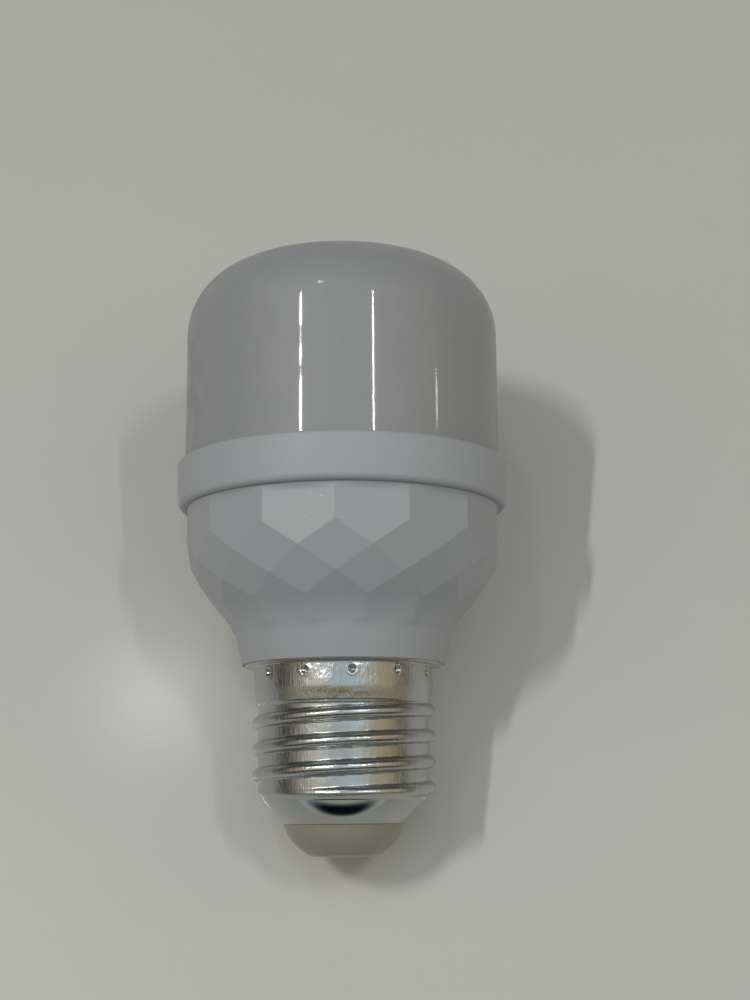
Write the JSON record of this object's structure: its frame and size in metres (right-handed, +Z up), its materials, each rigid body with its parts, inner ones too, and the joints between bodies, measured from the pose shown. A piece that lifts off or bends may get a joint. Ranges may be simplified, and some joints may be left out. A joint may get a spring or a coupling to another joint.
{
  "type": "smart light bulb",
  "caption": "Connected LED bulb: cylindrical opal dome, smooth collar ring, faceted tapering housing and a rolled E27 screw cap, with its light engine and driver inside.",
  "frame": {"origin": "centre of the centre contact's flat bottom face, on the bulb's axis", "axes": "+Z up the bulb's axis from the screw cap to the dome; -Y is the side with a vertical facet edge in its middle; +X completes the right-handed frame"},
  "size_m": [0.0486, 0.0486, 0.0875],
  "materials": {
    "opal_diffuser": "opal polycarbonate, satin gloss",
    "silicone": "translucent silicone",
    "collar_plastic": "white, satin",
    "housing_plastic": "white, fine spark-eroded texture",
    "cap_metal": "nickel plated, rolled",
    "insulator_plastic": "beige thermoset, smooth",
    "contact_metal": "nickel plated brass, dull",
    "heatsink_aluminium": "pressed, plain",
    "thermal_pad": "matt",
    "white_board": "white solder mask on aluminium",
    "warm_phosphor": "amber phosphor",
    "cool_phosphor": "yellow phosphor",
    "clear_light": "white body with clear pocket",
    "screw_steel": "zinc plated",
    "gilt_pin": "gold flash",
    "black_plastic": "moulded",
    "green_board": "green solder mask",
    "black_sleeve": "shrink sleeve",
    "blue_sleeve": "shrink sleeve",
    "ferrite": "sintered ferrite",
    "winding_tape": "yellow tape",
    "dark_sleeve": "shrink sleeve on a ferrite drum",
    "blue_coating": "epoxy dip",
    "resistor_body": "cement coat",
    "chip_plastic": "moulded epoxy",
    "dark_board": "black solder mask",
    "shield_metal": "tinned",
    "copper_trace": "tinned copper",
    "red_insulation": "silicone sleeve",
    "black_insulation": "silicone sleeve"
  },
  "bodies": {
    "root": {"diffuser": "opal_diffuser", "diffuser_seal": "silicone", "collar_ring": "collar_plastic", "housing": "housing_plastic", "screw_shell": "cap_metal", "insulator": "insulator_plastic", "centre_contact": "contact_metal", "heatsink_cup": "heatsink_aluminium", "thermal_pad": "thermal_pad", "led_board": "white_board", "warm_white_leds": "warm_phosphor", "cool_white_leds": "cool_phosphor", "colour_leds": "clear_light", "board_screws": "screw_steel", "header_pins": "gilt_pin", "board_socket": "black_plastic", "driver_board": "green_board", "input_capacitor": "black_sleeve", "output_capacitor": "blue_sleeve", "transformer_core": "ferrite", "transformer_winding": "winding_tape", "line_choke": "dark_sleeve", "surge_varistor": "blue_coating", "fusible_resistor": "resistor_body", "bridge_rectifier": "chip_plastic", "driver_chip": "chip_plastic", "radio_board": "dark_board", "radio_chip": "chip_plastic", "radio_shield": "shield_metal", "radio_pins": "gilt_pin", "antenna": "copper_trace", "live_lead": "red_insulation", "neutral_lead": "black_insulation"}
  },
  "joints": []
}
